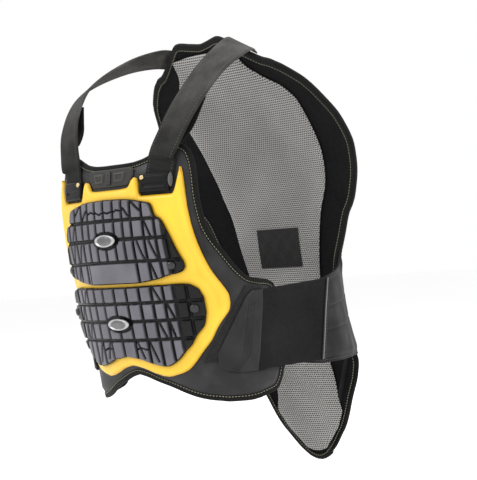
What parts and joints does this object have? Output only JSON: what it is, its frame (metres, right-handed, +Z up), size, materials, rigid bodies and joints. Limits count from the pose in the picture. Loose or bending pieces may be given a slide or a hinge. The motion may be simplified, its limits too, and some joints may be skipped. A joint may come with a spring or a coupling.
{
  "type": "chest and back protector",
  "caption": "Worn chest and back protector of padded shells, with a yellow moulded frame, ribbed plates, shoulder straps and an elastic waist belt",
  "frame": {"origin": "between the shoulders, level with the tops of the shoulder straps, where the shoulders hold it up", "axes": "+Z up along the body, -Y to the front of the chest, +Y to the back, +X to the wearer's left, metres"},
  "size_m": [0.4066, 0.4478, 0.6942],
  "materials": {
    "cover_cloth": "smooth black woven cover cloth over foam, dull",
    "knit_lining": "warm light grey open spacer knit with small staggered holes",
    "label_cloth": "bare black satin cloth patch, sewn all round",
    "binding_tape": "black folded tape with a pale olive stitch line",
    "smooth_laminate": "dark grey smooth coated cloth over foam, faint sheen",
    "wing_laminate": "dark grey coated cloth with soft folds",
    "yellow_foam": "warm yellow moulded foam, soft sheen",
    "tread_rubber": "violet-grey moulded rubber blocks, satin",
    "oval_plate": "plain grey oval plate, satin",
    "stud_plastic": "dark domed stud, satin",
    "guard_rubber": "dark grey moulded rubber, satin",
    "strap_webbing": "worn charcoal woven strap, mottled",
    "buckle_plastic": "black moulded plastic, soft shine",
    "rivet_metal": "small brass rivet head",
    "loop_cloth": "black brushed loop cloth",
    "tab_rubber": "dark grey moulded rubber tab with raised lines",
    "elastic_rib": "black elastic with fine upright ribs",
    "trim_tape": "grey narrow tape, sewn down"
  },
  "bodies": {
    "root": {"back_panel": "cover_cloth", "back_lining": "knit_lining", "back_label": "label_cloth", "back_binding": "binding_tape", "chest_panel": "smooth_laminate", "chest_binding": "binding_tape", "chest_frame": "yellow_foam", "upper_tread": "tread_rubber", "lower_tread": "tread_rubber", "upper_oval": "oval_plate", "lower_oval": "oval_plate", "upper_stud_left": "stud_plastic", "upper_stud_right": "stud_plastic", "lower_stud_left": "stud_plastic", "lower_stud_right": "stud_plastic", "neck_guard": "guard_rubber", "neck_strip": "guard_rubber", "strap_left": "strap_webbing", "strap_right": "strap_webbing", "strap_return_left": "strap_webbing", "strap_return_right": "strap_webbing", "buckle_left": "buckle_plastic", "buckle_right": "buckle_plastic", "buckle_rivet_left": "rivet_metal", "buckle_rivet_right": "rivet_metal", "loop_patch_left": "loop_cloth", "loop_patch_right": "loop_cloth", "belt_tab_left": "tab_rubber", "belt_tab_right": "tab_rubber", "belt_left": "elastic_rib", "belt_right": "elastic_rib", "belt_trim_left": "trim_tape", "belt_trim_right": "trim_tape", "lumbar_wing_left": "wing_laminate", "lumbar_wing_right": "wing_laminate"}
  },
  "joints": []
}
